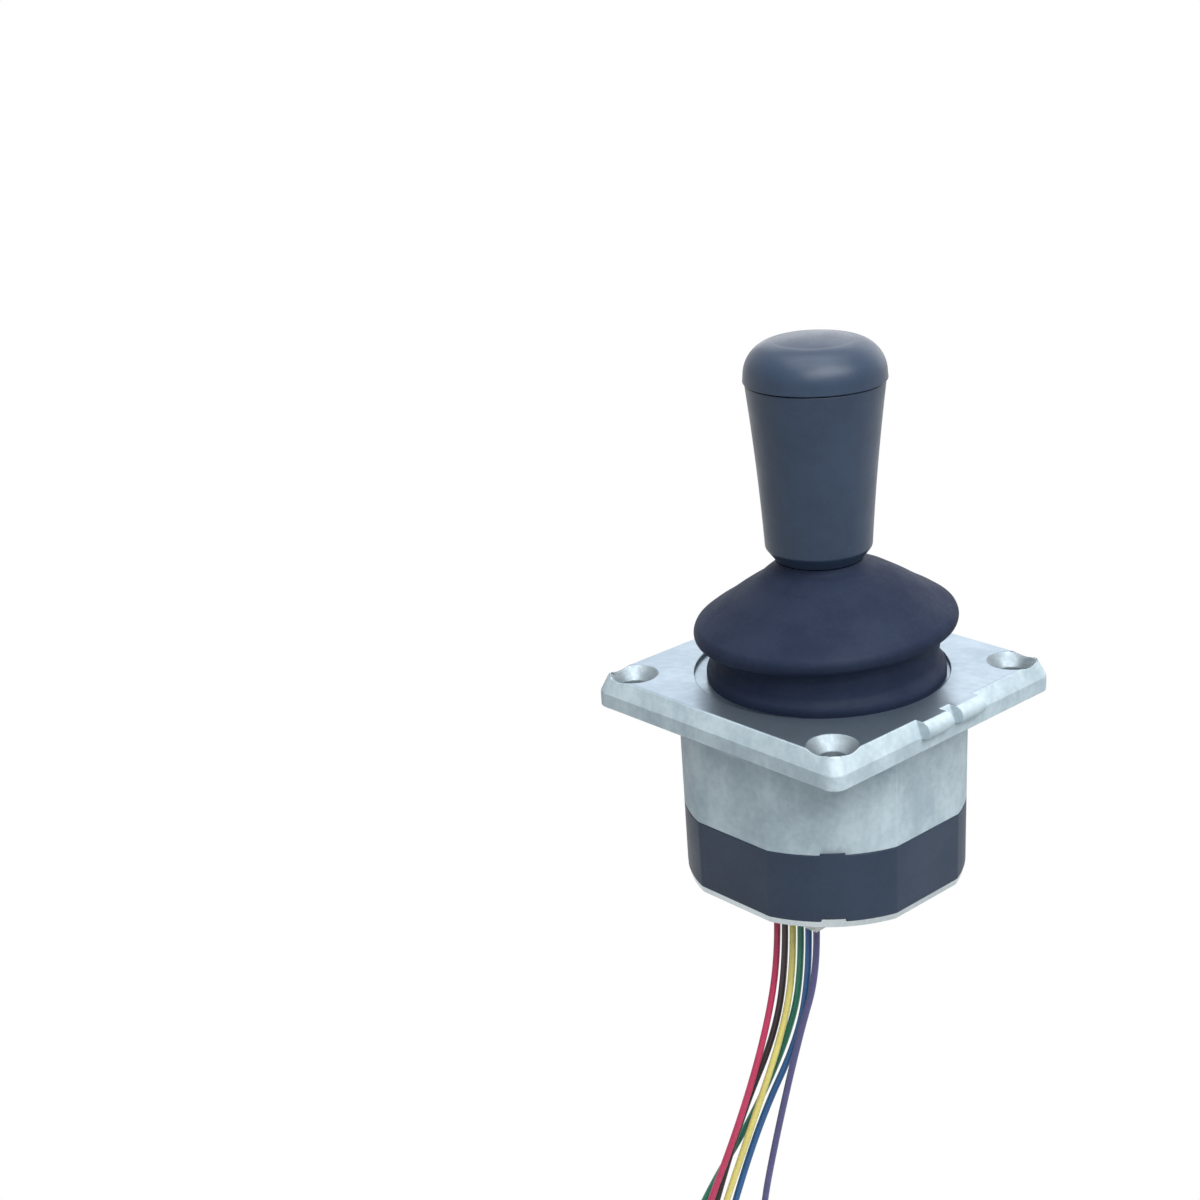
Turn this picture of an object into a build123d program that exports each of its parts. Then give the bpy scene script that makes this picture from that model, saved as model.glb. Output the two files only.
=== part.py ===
from build123d import *
import math
import os

os.makedirs("parts", exist_ok=True)

# Two-axis panel joystick in millimetres. z = 0 is the underside of the flange, which rests on
# the panel, +Z points up the lever to the knob, and +X is the side with the two casting stubs.

# Fits between pieces
slip = 0.03
running = 0.02
seat_gap = 0.15

# Flange of the die-cast housing
panel_screw_pitch = 49.0
flange_edge = 5.3
flange_lean = 1.3
flange_t = 5.8
rim_band = 2.8
flange_corner_r = 2.6
panel_hole_d = 4.5
countersink_d = 9.0
spotface_d = 9.0
spotface_depth = 0.3
stub_len = 6.6
stub_pitch = 9.1
stub_shift = 0.25
stub_d = 3.3
stub_out = 0.25

# Round body with four flats below the flange, drafted outward to the flange
body_wall = 3.05
corner_wall = 4.5
body_draft_deg = 0.7
body_edge_r = 2.0
flare_margin = 1.85
flare_start = 1.5
flare_depth = 10.0
web_underside = 1.8
web_opening_r = 15.0
notch_width = 4.5
notch_height = 0.5
notch_depth = 1.6
spigot_wall = 1.2
spigot_height = 1.6

# Closing plate, its screws and the small drain hole
plate_t = 1.2
pan_face_r = 13.5
pan_foot_r = 16.5
pan_depth = 2.5
plate_edge_gap = 0.3
plate_screw_inset = 1.6
plate_screw_d = 2.5
plate_screw_bite = 4.4
plate_screw_head_d = 4.8
plate_screw_head_h = 1.7
screw_boss_r = 3.2
casting_boss_len = 6.6
casting_boss_gap = 1.4
drain_hole_d = 1.3
drain_hole_inset = 1.6

# Gimbal
pivot_z = -7.0
tilt_limit_deg = 20.0
pin_d = 3.0
ring_wall = 3.4
ring_space = 4.6
ear_space = 4.4
ring_h = 7.0
ring_corner_r = 3.0
bush_wall = 1.0
clip_t = 0.6
clip_gap = 0.1
clip_wall = 1.1
clip_groove_depth = 0.3
pin_overhang = 1.6
ear_t = 3.4
ear_gap = 1.4
ear_width = 9.0
carrier_width = 3.7
carrier_gap = 0.5
carrier_t = 1.8
carrier_screw_d = 2.0
carrier_screw_len = 4.2
carrier_screw_head_d = 3.6
carrier_screw_head_h = 1.2

# Centring springs, each with two upright legs that straddle a pair of lugs
spring_wire = 0.8
spring_turns = 2.5
spring_pitch = 0.86
spring_bore_gap = 0.35
spring_leg = 8.0
lug_gap = 0.05
lug_t = 1.8
lug_step = 0.7
lug_reach = 3.8
sleeve_wall = 1.1
sleeve_end_gap = 0.1

# Lever
shaft_d = 8.0
stud_d = 6.0
stud_engage = 4.9
hub_r = 6.0
hub_half_width = 4.6
hub_up = 7.8
hub_down = 6.0
washer_r = 7.0
washer_t = 1.0
washer_seat_h = 19.4
nut_across_flats = 10.0
nut_t = 3.2
holder_r = 3.6
holder_stud_r = 1.5
holder_stud_len = 2.6
magnet_r = 3.0
magnet_t = 3.0
magnet_face_drop = 19.4
magnet_proud = 0.2
field_gap = 1.5

# Travel limiter plate with its square opening
limiter_t = 1.6
limiter_edge = 2.4
limiter_gap = 0.35
limiter_corner_r = 2.0
limiter_screw_inset = 1.8
limiter_screw_d = 2.0
limiter_screw_len = 4.4
limiter_screw_head_d = 3.8

# Rubber boot
boot_recess_gap = 0.7
boot_recess_depth = 0.8
boot_foot_width = 3.6
boot_lip_t = 0.9
boot_lip_width = 1.15
boot_foot_h = 3.0
boot_wall = 1.2
boot_waist_out = 1.7
boot_waist_h = 4.6
boot_rise_out = 0.7
boot_rise_h = 6.7
boot_bulge_out = 3.05
boot_bulge_h = 10.7
boot_shoulder_in = 1.55
boot_shoulder_h = 14.3
boot_neck_out = 2.1
boot_neck_rise = 0.2
boot_collar_wall = 1.2
boot_collar_bend = 1.3
boot_collar_h = 2.0

# Knob
knob_len = 32.7
knob_gap = 0.1
knob_bottom_r = 8.2
knob_chamfer_r = 9.7
knob_chamfer_h = 2.3
knob_waist_in = 0.25
knob_top_r = 12.55
cap_lip = 0.3
cap_gap = 0.15
cap_straight = 1.0
cap_height = 7.7
cap_bend_in = 1.28
cap_bend_h = 4.4
cap_crown_r = 7.6
cap_crown_rise = 0.9
cap_shell = 2.0
cap_spigot_r = 9.6
cap_spigot_len = 4.0
insert_r = 5.0
insert_len = 13.0
nut_pocket_gap = 0.5
knob_core_wall = 2.6

# Electronics
board_gap = 0.6
board_t = 1.6
board_drop = 2.4
board_post_inset = 2.2
board_post_r = 2.6
board_post_len = 5.0
board_screw_d = 1.6
board_screw_len = 5.2
board_screw_head_d = 3.0
board_screw_head_h = 0.9
sensor_side = 4.0
sensor_h = 1.0
chip_side = 5.0
chip_t = 0.9
chip_x = -13.0
chip_y = 6.5
regulator_len = 4.0
regulator_width = 3.0
regulator_t = 1.3
regulator_x = 11.5
regulator_y = 7.5
capacitor_r = 1.7
capacitor_h = 1.6
capacitor_x = 13.0
capacitor_y = -8.0
resistor_len = 2.0
resistor_width = 1.2
resistor_t = 0.5
resistor_pitch = 2.2
resistor_x = -11.4
resistor_y = -10.0
plug_x = 3.5
plug_y = -12.3
way_pitch = 2.0
way_count = 6
header_len = 14.6
header_width = 5.4
header_h = 6.0
header_wall = 0.5
header_floor = 1.0
window_gap = 0.4
plug_gap = 0.1
plug_proud = 3.5
plug_floor = 2.0
plug_slot_width = 1.0
plug_slot_h = 1.6
plug_slot_depth = 0.4
header_pin = 0.6
header_pin_tail = 1.4
header_pin_len = 9.0
terminal_side = 1.5
terminal_gap = 0.1

# Flying leads
wire_d = 1.3
tip_d = 0.9
tip_len = 4.0

# Sticker, bare
sticker_t = 0.15
sticker_low = 0.6
sticker_h = 21.5
sticker_on_flat = 18.6
sticker_on_corner = 9.5

# Places worked out from the sizes above
flange_side = panel_screw_pitch + 2 * flange_edge
flange_top_side = flange_side - 2 * flange_lean
flange_top = flange_t
recess_floor = flange_top - boot_recess_depth
ring_inner = hub_half_width + ring_space
ring_half = ring_inner + ring_wall
ear_inner_x = ring_half + ear_space
cavity_r = ear_inner_x + ear_t + ear_gap
body_half = cavity_r + body_wall
body_r = cavity_r + corner_wall
flat_half = math.sqrt(body_r**2 - body_half**2)
flare_r = panel_screw_pitch / math.sqrt(2) - spotface_d / 2 - flare_margin
carrier_r = cavity_r - carrier_gap
carrier_inner_r = carrier_r - carrier_width
carrier_screw_ring_r = carrier_r - carrier_width / 2
plate_screw_ring_r = cavity_r - plate_screw_inset
board_r = cavity_r - board_gap
board_post_ring_r = cavity_r - board_post_inset
casting_bottom = pivot_z - ear_width / 2 - casting_boss_gap - casting_boss_len
magnet_end = pivot_z - magnet_face_drop
board_top = magnet_end - field_gap - sensor_h
board_bottom = board_top - board_t
shell_bottom = board_bottom - board_drop
plate_bottom = shell_bottom - plate_t
pan_bottom = plate_bottom - pan_depth
plug_end_z = pan_bottom - plug_proud
plate_screw_len = casting_bottom + plate_screw_bite - plate_bottom
pin_r = pin_d / 2
coil_r = pin_r + spring_bore_gap + spring_wire / 2
lug_half = coil_r - spring_wire / 2 - lug_gap
lug_low = pivot_z + coil_r + spring_wire / 2 + lug_gap + 0.5
tilt = math.radians(tilt_limit_deg)
washer_seat_z = recess_floor + washer_seat_h
washer_top = washer_seat_z + washer_t
collar_top = washer_top + boot_collar_h
knob_bottom_z = collar_top + knob_gap
knob_top_z = knob_bottom_z + knob_len
knob_top_gap_z = knob_top_z + cap_gap
cap_r = knob_top_r + cap_lip
insert_low = collar_top + nut_t + nut_pocket_gap
insert_top = insert_low + insert_len
shaft_top_z = insert_top - knob_gap
limiter_top = recess_floor + limiter_t
limiter_lean = math.acos(math.cos(tilt) ** 2)
limiter_reach = (limiter_top - pivot_z) * math.tan(tilt) / math.cos(tilt)
limiter_half = limiter_reach + shaft_d / 2 / math.cos(limiter_lean) + limiter_gap
limiter_screw_ring_r = web_opening_r + limiter_screw_inset
limiter_r = limiter_screw_ring_r + limiter_edge
boot_foot_r = limiter_r + boot_foot_width
boot_recess_r = boot_foot_r + boot_recess_gap
boot_waist_r = limiter_r + boot_waist_out
boot_waist_z = recess_floor + boot_waist_h
boot_bulge_r = boot_waist_r + boot_bulge_out
boot_bulge_z = recess_floor + boot_bulge_h
boot_rise_r = boot_waist_r + boot_rise_out
boot_rise_z = recess_floor + boot_rise_h
boot_shoulder_r = boot_waist_r - boot_shoulder_in
boot_shoulder_z = recess_floor + boot_shoulder_h
boot_collar_r = washer_r + boot_collar_wall
boot_neck_r = boot_collar_r + boot_neck_out
boot_neck_z = washer_top + boot_neck_rise
hub_top = pivot_z + hub_up
hub_bottom = pivot_z - hub_down
ways_x = [plug_x + (way_count - 1) * way_pitch / 2 - i * way_pitch for i in range(way_count)]


def block(x0, x1, y0, y1, z0, z1):
    """Box between two corners."""
    return Pos((x0 + x1) / 2, (y0 + y1) / 2, (z0 + z1) / 2) * Box(x1 - x0, y1 - y0, z1 - z0)


def rod(r, z0, z1, x=0.0, y=0.0):
    """Upright cylinder from z0 to z1."""
    return Pos(x, y, (z0 + z1) / 2) * Cylinder(r, z1 - z0)


def tube(r_out, r_in, z0, z1, x=0.0, y=0.0):
    """Upright tube from z0 to z1."""
    return rod(r_out, z0, z1, x, y) - rod(r_in, z0 - 1, z1 + 1, x, y)


def along_x(r, x0, x1, z=pivot_z):
    """Cylinder along X at y = 0."""
    return Pos((x0 + x1) / 2, 0, z) * Rot(0, 90, 0) * Cylinder(r, x1 - x0)


def along_y(r, y0, y1, z=pivot_z):
    """Cylinder along Y at x = 0."""
    return Pos(0, (y0 + y1) / 2, z) * Rot(90, 0, 0) * Cylinder(r, y1 - y0)


def ring_places(radius, count=4, start=0.0):
    """Points spaced evenly on a circle."""
    turns = [math.radians(start + 360 * i / count) for i in range(count)]
    return [(radius * math.cos(a), radius * math.sin(a)) for a in turns]


def corner_boxes(z0, z1):
    """Four small blocks at the middles of the rounded corners, for the notches and tabs."""
    piece = block(body_r - notch_depth, body_r + 1, -notch_width / 2, notch_width / 2, z0, z1)
    return [Rot(0, 0, 45 + 90 * i) * piece for i in range(4)]


def body_section(z, shrink):
    """The body's outline at one height: a circle with four flats and softened edges."""
    grow = (z - shell_bottom) * math.tan(math.radians(body_draft_deg)) - shrink
    side = 2 * (body_half + grow)
    outline = Circle(body_r + grow) & Rectangle(side, side)
    return Plane.XY.offset(z) * fillet(outline.vertices(), body_edge_r)


def drum(z0, z1, shrink=0.0):
    """Length of the drafted body between two heights."""
    return loft([body_section(z0, shrink), body_section(z1, shrink)])


def flare():
    """Concave skirt that runs the body out into a round foot under the flange."""
    inner = body_half - flare_start
    middle = (inner + (flare_r - inner) * 0.36, -flare_depth * 0.36)
    with BuildPart() as skirt:
        with BuildSketch(Plane.XZ):
            with BuildLine():
                Polyline((inner, -flare_depth), (cavity_r - 1, -flare_depth), (cavity_r - 1, 0))
                Line((cavity_r - 1, 0), (flare_r, 0))
                ThreePointArc((flare_r, 0), middle, (inner, -flare_depth))
            make_face()
        revolve(axis=Axis.Z)
    return skirt.part


def flange():
    """Square flange whose upper rim slopes in, with countersunk holes and spotfaces below."""
    low = extrude(RectangleRounded(flange_side, flange_side, flange_corner_r), rim_band)
    foot = Plane.XY.offset(rim_band) * RectangleRounded(flange_side, flange_side, flange_corner_r)
    top_r = flange_corner_r - flange_lean / 2
    head = Plane.XY.offset(flange_t) * RectangleRounded(flange_top_side, flange_top_side, top_r)
    plate = low + loft([foot, head])
    for x in (-panel_screw_pitch / 2, panel_screw_pitch / 2):
        for y in (-panel_screw_pitch / 2, panel_screw_pitch / 2):
            sink = (countersink_d - panel_hole_d) / 2
            cone = Pos(x, y, flange_t - sink / 2) * Cone(panel_hole_d / 2, countersink_d / 2, sink)
            plate -= rod(panel_hole_d / 2, -1, flange_t + 1, x, y) + cone
            plate -= rod(spotface_d / 2, -1, spotface_depth, x, y)
    return plate


def stubs():
    """Two round-nosed stubs left by the casting on the +X rim, level with the flange's top."""
    made = []
    x = flange_side / 2 + stub_out
    z = flange_top - stub_d / 2
    inner = flange_top_side / 2 - flange_lean
    for i in (-0.5, 0.5):
        y = stub_shift + i * stub_pitch
        nose = Pos(x, y, z) * Rot(90, 0, 0) * Cylinder(stub_d / 2, stub_len)
        made.append(nose + block(inner, x, y - stub_len / 2, y + stub_len / 2, z, flange_top))
    return made


def flange_housing():
    """Die-cast housing: flange, flared body, web, cavity and screw bosses."""
    body = drum(casting_bottom, 0) + flare() + flange()
    for stub in stubs():
        body += stub
    body -= rod(cavity_r, casting_bottom - 1, web_underside)
    body -= rod(web_opening_r, web_underside - 1, flange_top + 1)
    body -= rod(boot_recess_r, recess_floor, flange_top + 1)
    for x, y in ring_places(plate_screw_ring_r):
        boss = rod(screw_boss_r, casting_bottom, casting_bottom + casting_boss_len, x, y)
        body += boss
        hole_top = shell_bottom - plate_t + plate_screw_len + 0.6
        body -= rod(plate_screw_d / 2 + slip, casting_bottom - 1, hole_top, x, y)
    for x, y in ring_places(limiter_screw_ring_r):
        body -= rod(limiter_screw_d / 2 + slip, web_underside - 1, flange_top, x, y)
    for x, y in ring_places(carrier_screw_ring_r, start=45):
        body -= rod(carrier_screw_d / 2 + slip, web_underside - 1, recess_floor - 0.4, x, y)
    for notch in corner_boxes(casting_bottom - 1, casting_bottom + notch_height + slip):
        body -= notch
    return body


def lower_shell():
    """Moulded lower shell with its spigot, screw bosses, board posts and notches."""
    shell = drum(shell_bottom, casting_bottom)
    shell -= rod(cavity_r, shell_bottom - 1, casting_bottom + 1)
    spigot_r = cavity_r - seat_gap
    inner_r = spigot_r - spigot_wall
    ledge = casting_bottom - spigot_wall
    ring = tube(spigot_r, inner_r, ledge, casting_bottom + spigot_height)
    neck = tube(cavity_r + 1, inner_r, ledge, casting_bottom)
    shell += ring + neck
    for x, y in ring_places(plate_screw_ring_r):
        shell -= rod(screw_boss_r + seat_gap, casting_bottom, casting_bottom + spigot_height + 1, x, y)
        shell += rod(screw_boss_r, shell_bottom, casting_bottom, x, y)
        shell -= rod(plate_screw_d / 2 + slip, shell_bottom - 1, casting_bottom + 1, x, y)
    for x, y in ring_places(board_post_ring_r, count=2, start=45):
        shell += rod(board_post_r, board_top, board_top + board_post_len, x, y)
        hole_top = board_bottom + board_screw_len + 0.3
        shell -= rod(board_screw_d / 2 + slip, board_top - 1, hole_top, x, y)
    for tab in corner_boxes(casting_bottom - 1, casting_bottom + notch_height):
        shell += tab & drum(casting_bottom - 1, casting_bottom + notch_height)
    for notch in corner_boxes(shell_bottom - 1, shell_bottom + notch_height + slip):
        shell -= notch
    return shell


def bottom_plate():
    """Pressed steel closing plate with its raised pan, connector window and holes."""
    plate = drum(plate_bottom, shell_bottom, plate_edge_gap)
    for tab in corner_boxes(plate_bottom, shell_bottom + notch_height):
        plate += tab & drum(plate_bottom, shell_bottom + notch_height, plate_edge_gap)
    with BuildPart() as pan:
        with BuildSketch(Plane.XZ):
            with BuildLine():
                Polyline(
                    (0, pan_bottom),
                    (pan_face_r, pan_bottom),
                    (pan_foot_r, plate_bottom),
                    (pan_foot_r + 1, plate_bottom),
                    (pan_foot_r + 1, shell_bottom),
                    (pan_foot_r - 0.5, shell_bottom),
                    (pan_face_r - 0.5, pan_bottom + plate_t),
                    (0, pan_bottom + plate_t),
                    close=True,
                )
            make_face()
        revolve(axis=Axis.Z)
    plate = plate - rod(pan_foot_r, plate_bottom - 1, shell_bottom + 1) + pan.part
    half_l = header_len / 2 + window_gap
    half_w = header_width / 2 + window_gap
    plate -= block(plug_x - half_l, plug_x + half_l, plug_y - half_w, plug_y + half_w, pan_bottom - 1, 0)
    for x, y in ring_places(plate_screw_ring_r):
        plate -= rod(plate_screw_d / 2 + slip, plate_bottom - 1, shell_bottom + 1, x, y)
    x, y = ring_places(body_r - drain_hole_inset, start=225)[0]
    return plate - rod(drain_hole_d / 2, plate_bottom - 1, shell_bottom + 1, x, y)


def pan_head_screw(x, y, under_head, length, d, head_d, head_h):
    """Pan-head screw standing upward from under_head, with a cross recess below its head."""
    shank = rod(d / 2, under_head, under_head + length, x, y)
    low = under_head - head_h
    head = rod(head_d / 2, low, under_head, x, y)
    head = fillet(head.edges().sort_by(Axis.Z)[0], head_h * 0.45)
    slot = head_d * 0.3
    arm = head_d * 0.09
    cross = block(x - slot, x + slot, y - arm, y + arm, low - 1, low + head_h * 0.5)
    cross += block(x - arm, x + arm, y - slot, y + slot, low - 1, low + head_h * 0.5)
    return shank + (head - cross)


def plate_screws():
    """Four long screws through the plate and shell into the casting."""
    sizes = (plate_bottom, plate_screw_len, plate_screw_d, plate_screw_head_d, plate_screw_head_h)
    return [pan_head_screw(x, y, *sizes) for x, y in ring_places(plate_screw_ring_r)]


def gimbal_carrier():
    """Ring screwed under the web, with two ears that hold the outer pivot pins."""
    ring_bottom = web_underside - carrier_t
    carrier = tube(carrier_r, carrier_inner_r, ring_bottom, web_underside)
    ear = block(ear_inner_x, ear_inner_x + ear_t, -ear_width / 2, ear_width / 2, pivot_z, ring_bottom + 0.4)
    cheek = along_x(ear_width / 2, ear_inner_x, ear_inner_x + ear_t)
    lug_start = lug_low + lug_t + lug_step
    lug = block(ear_inner_x - lug_reach, ear_inner_x + 1, -lug_half, lug_half, lug_start, lug_start + lug_t)
    for side in (0, 180):
        carrier += Rot(0, 0, side) * (ear + cheek)
    carrier += lug
    carrier -= along_x(pin_r + slip, -cavity_r, cavity_r)
    for x, y in ring_places(carrier_screw_ring_r, start=45):
        carrier -= rod(carrier_screw_d / 2 + slip, ring_bottom - 1, web_underside + 1, x, y)
    return carrier


def carrier_screws():
    """Four small screws that hold the carrier up against the web."""
    head = (carrier_screw_head_d, carrier_screw_head_h)
    sizes = (web_underside - carrier_t, carrier_screw_len, carrier_screw_d, *head)
    return [pan_head_screw(x, y, *sizes) for x, y in ring_places(carrier_screw_ring_r, start=45)]


def outer_pivot_pins():
    """Two pins pressed in the ears; the ring's bushes turn on them."""
    start = ring_inner + 0.2
    end = ear_inner_x + ear_t
    return [along_x(pin_r, start, end), along_x(pin_r, -end, -start)]


def gimbal_ring():
    """Square ring with bushed side walls, a cross pin hole and two spring lugs."""
    outer = RectangleRounded(2 * ring_half, 2 * ring_half, ring_corner_r)
    frame = extrude(outer - RectangleRounded(2 * ring_inner, 2 * ring_inner, 1.5), ring_h)
    ring = Pos(0, 0, pivot_z - ring_h / 2) * frame
    top = pivot_z + ring_h / 2
    ring += block(ring_half - 2, ring_half + lug_reach, -lug_half, lug_half, top - 0.2, lug_low + lug_t)
    outer_end = ring_inner + ring_wall / 2
    arm_low = lug_low + lug_t + lug_step
    ring += block(-lug_half, lug_half, ring_inner, outer_end, top - 0.2, arm_low + lug_t)
    ring += block(-lug_half, lug_half, ring_inner - lug_reach, outer_end, arm_low, arm_low + lug_t)
    ring -= along_x(pin_r + bush_wall + slip, -ring_half - 1, ring_half + 1)
    return ring - along_y(pin_r + slip, -ring_half - 1, ring_half + 1)


def ring_bushes():
    """Two bushes in the ring's side walls that run on the outer pins."""
    bush = along_x(pin_r + bush_wall, ring_inner, ring_half) - along_x(pin_r + running, 0, ring_half + 1)
    return [bush, Rot(0, 0, 180) * bush]


def cross_pin():
    """Pin through ring and hub, grooved at both ends for its clips."""
    reach = ring_half + pin_overhang
    pin = along_y(pin_r, -reach, reach)
    for side in (-1, 1):
        near = ring_half + clip_gap
        low, high = sorted((side * near, side * (near + clip_t + 2 * slip)))
        pin -= along_y(pin_r + 1, low, high) - along_y(pin_r - clip_groove_depth, low, high)
    return pin


def pin_clips():
    """Two open clips in the cross pin's grooves."""
    made = []
    inner = pin_r - clip_groove_depth + slip
    for side in (-1, 1):
        near = ring_half + clip_gap + slip
        low, high = sorted((side * near, side * (near + clip_t)))
        clip = along_y(inner + clip_wall, low, high) - along_y(inner, low - 1, high + 1)
        mouth = block(-inner * 0.8, inner * 0.8, low - 1, high + 1, pivot_z, pivot_z + 5)
        made.append(clip - mouth)
    return made


def torsion_coil():
    """Torsion spring wound round local Z, with both tangent legs along local -Y."""
    height = spring_turns * spring_pitch
    coil = Helix(spring_pitch, height, coil_r)
    start = coil @ 0
    end = coil @ 1
    first = Line(start - (coil % 0) * spring_leg, start)
    last = Line(end, end + (coil % 1) * spring_leg)
    path = Wire([first.edge(), coil.edge(), last.edge()])
    section = Plane(origin=first @ 0, z_dir=first % 0) * Circle(spring_wire / 2)
    return sweep(section, path=path)


def torsion_spring_x():
    """Centring spring of the ring, between the ring and the +X ear."""
    start = (ring_half + ear_inner_x - spring_turns * spring_pitch) / 2
    seat = Plane(origin=(start, 0, pivot_z), x_dir=(0, -1, 0), z_dir=(1, 0, 0))
    return Location(seat) * torsion_coil()


def torsion_spring_y():
    """Centring spring of the lever, between the hub and the ring on the +Y side."""
    start = (hub_half_width + ring_inner - spring_turns * spring_pitch) / 2
    seat = Plane(origin=(0, start, pivot_z), x_dir=(1, 0, 0), z_dir=(0, 1, 0))
    return Location(seat) * torsion_coil()


def spacer_sleeve_x():
    """Sleeve on the -X pin, where the +X pin carries the spring."""
    near = -ring_half - sleeve_end_gap
    far = -ear_inner_x + sleeve_end_gap
    return along_x(pin_r + sleeve_wall, far, near) - along_x(pin_r + slip, far - 1, near + 1)


def spacer_sleeve_y():
    """Sleeve on the cross pin between the hub and the ring's -Y wall."""
    near = -hub_half_width - sleeve_end_gap
    far = -ring_inner + sleeve_end_gap
    return along_y(pin_r + sleeve_wall, far, near) - along_y(pin_r + slip, far - 1, near + 1)


def lever_hub():
    """Turned hub with two flats, cross bore, threaded sockets and its spring lug."""
    hub = rod(hub_r, hub_bottom, hub_top)
    hub &= block(-hub_r - 1, hub_r + 1, -hub_half_width, hub_half_width, hub_bottom, hub_top)
    hub = chamfer(hub.edges().filter_by(GeomType.CIRCLE).sort_by(Axis.Z)[-2:], 0.5)
    lug_end = hub_half_width + lug_reach
    hub += block(-lug_half, lug_half, hub_half_width - 1, lug_end, lug_low, lug_low + lug_t)
    hub -= along_y(pin_r + bush_wall + slip, -hub_half_width - 5, hub_half_width + 5)
    hub -= rod(stud_d / 2 + slip, hub_top - stud_engage, hub_top + 1)
    return hub - rod(holder_stud_r + slip, hub_bottom - 1, hub_bottom + holder_stud_len + 0.2)


def hub_bush():
    """Bush that runs on the cross pin."""
    bush = along_y(pin_r + bush_wall, -hub_half_width, hub_half_width)
    return bush - along_y(pin_r + running, -hub_half_width - 1, hub_half_width + 1)


def lever_shaft():
    """Turned shaft: stud into the hub, thick middle, threaded upper end for nut and knob."""
    shaft = rod(stud_d / 2, hub_top - stud_engage + 0.2, hub_top)
    shaft += rod(shaft_d / 2, hub_top, washer_seat_z)
    shaft += rod(stud_d / 2, washer_seat_z, shaft_top_z)
    return chamfer(shaft.edges().sort_by(Axis.Z)[-1], 0.6)


def boot_washer():
    """Washer on the shaft's shoulder, under the boot's collar."""
    return tube(washer_r, stud_d / 2 + slip, washer_seat_z, washer_top)


def collar_nut():
    """Thin hexagon nut that clamps the boot's collar, hidden in the knob's pocket."""
    hexagon = RegularPolygon(nut_across_flats / 2, 6, major_radius=False)
    nut = Pos(0, 0, collar_top) * extrude(hexagon, nut_t)
    return nut - rod(stud_d / 2 + slip, collar_top - 1, collar_top + nut_t + 1)


def magnet_holder():
    """Plastic holder screwed up into the hub, with a pocket for the magnet."""
    holder = rod(holder_r, magnet_end + magnet_proud, hub_bottom)
    holder += rod(holder_stud_r, hub_bottom, hub_bottom + holder_stud_len)
    return holder - rod(magnet_r + slip, magnet_end - 1, magnet_end + magnet_t)


def magnet():
    """Disc magnet at the lever's lower end."""
    return rod(magnet_r, magnet_end, magnet_end + magnet_t)


def knob_insert():
    """Brass insert moulded in the knob, with three grooves that hold it."""
    insert = tube(insert_r, stud_d / 2 + slip, insert_low, insert_top)
    for i in (1, 2, 3):
        z = insert_low + insert_len * i / 4
        insert -= tube(insert_r + 1, insert_r - 0.5, z - 0.6, z + 0.6)
    return insert


def knob_grip():
    """Tapered grip with a nut pocket below, the insert's bore and a cored top."""
    core_r = cap_spigot_r + slip
    core_low = insert_top + knob_core_wall
    side_low = (knob_chamfer_r, knob_bottom_z + knob_chamfer_h)
    waist = ((knob_chamfer_r + knob_top_r) / 2 - knob_waist_in, (side_low[1] + knob_top_z) / 2)
    with BuildPart() as grip:
        with BuildSketch(Plane.XZ):
            with BuildLine():
                Polyline((0, knob_bottom_z), (knob_bottom_r, knob_bottom_z), side_low)
                ThreePointArc(side_low, waist, (knob_top_r, knob_top_z))
                Polyline((knob_top_r, knob_top_z), (core_r, knob_top_z), (core_r, core_low + 3))
                Polyline((core_r, core_low + 3), (core_r - 3, core_low), (0, core_low))
                Line((0, core_low), (0, knob_bottom_z))
            make_face()
        revolve(axis=Axis.Z)
    pocket_r = nut_across_flats / math.sqrt(3) + nut_pocket_gap
    body = grip.part - rod(pocket_r, knob_bottom_z - 1, insert_low)
    body -= rod(insert_r + slip, insert_low - 1, insert_top + slip)
    for i in (1, 2, 3):
        z = insert_low + insert_len * i / 4
        body += tube(insert_r + 0.4, insert_r - 0.5 + slip, z - 0.6 + slip, z + 0.6 - slip)
    return body


def knob_cap():
    """Domed cap with a straight skirt, a rounded shoulder, a shallow crown and a spigot."""
    base = knob_top_gap_z
    top = base + cap_height
    shoulder_z = base + cap_straight
    crown_z = top - cap_crown_rise
    bend = (cap_r - cap_bend_in, base + cap_bend_h)
    inner_r = cap_spigot_r - cap_shell
    crown_sphere = (cap_crown_r**2 + cap_crown_rise**2) / (2 * cap_crown_rise)
    half_way_z = top - crown_sphere + math.sqrt(crown_sphere**2 - (cap_crown_r / 2) ** 2)
    with BuildPart() as cap:
        with BuildSketch(Plane.XZ):
            with BuildLine():
                Polyline((inner_r, base - cap_spigot_len), (cap_spigot_r, base - cap_spigot_len))
                Polyline((cap_spigot_r, base - cap_spigot_len), (cap_spigot_r, base), (cap_r, base))
                Line((cap_r, base), (cap_r - 0.1, shoulder_z))
                ThreePointArc((cap_r - 0.1, shoulder_z), bend, (cap_crown_r, crown_z))
                ThreePointArc((cap_crown_r, crown_z), (cap_crown_r / 2, half_way_z), (0, top))
                Polyline((0, top), (0, top - cap_shell), (inner_r, top - cap_shell - 1.5))
                Line((inner_r, top - cap_shell - 1.5), (inner_r, base - cap_spigot_len))
            make_face()
        revolve(axis=Axis.Z)
    return cap.part


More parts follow.
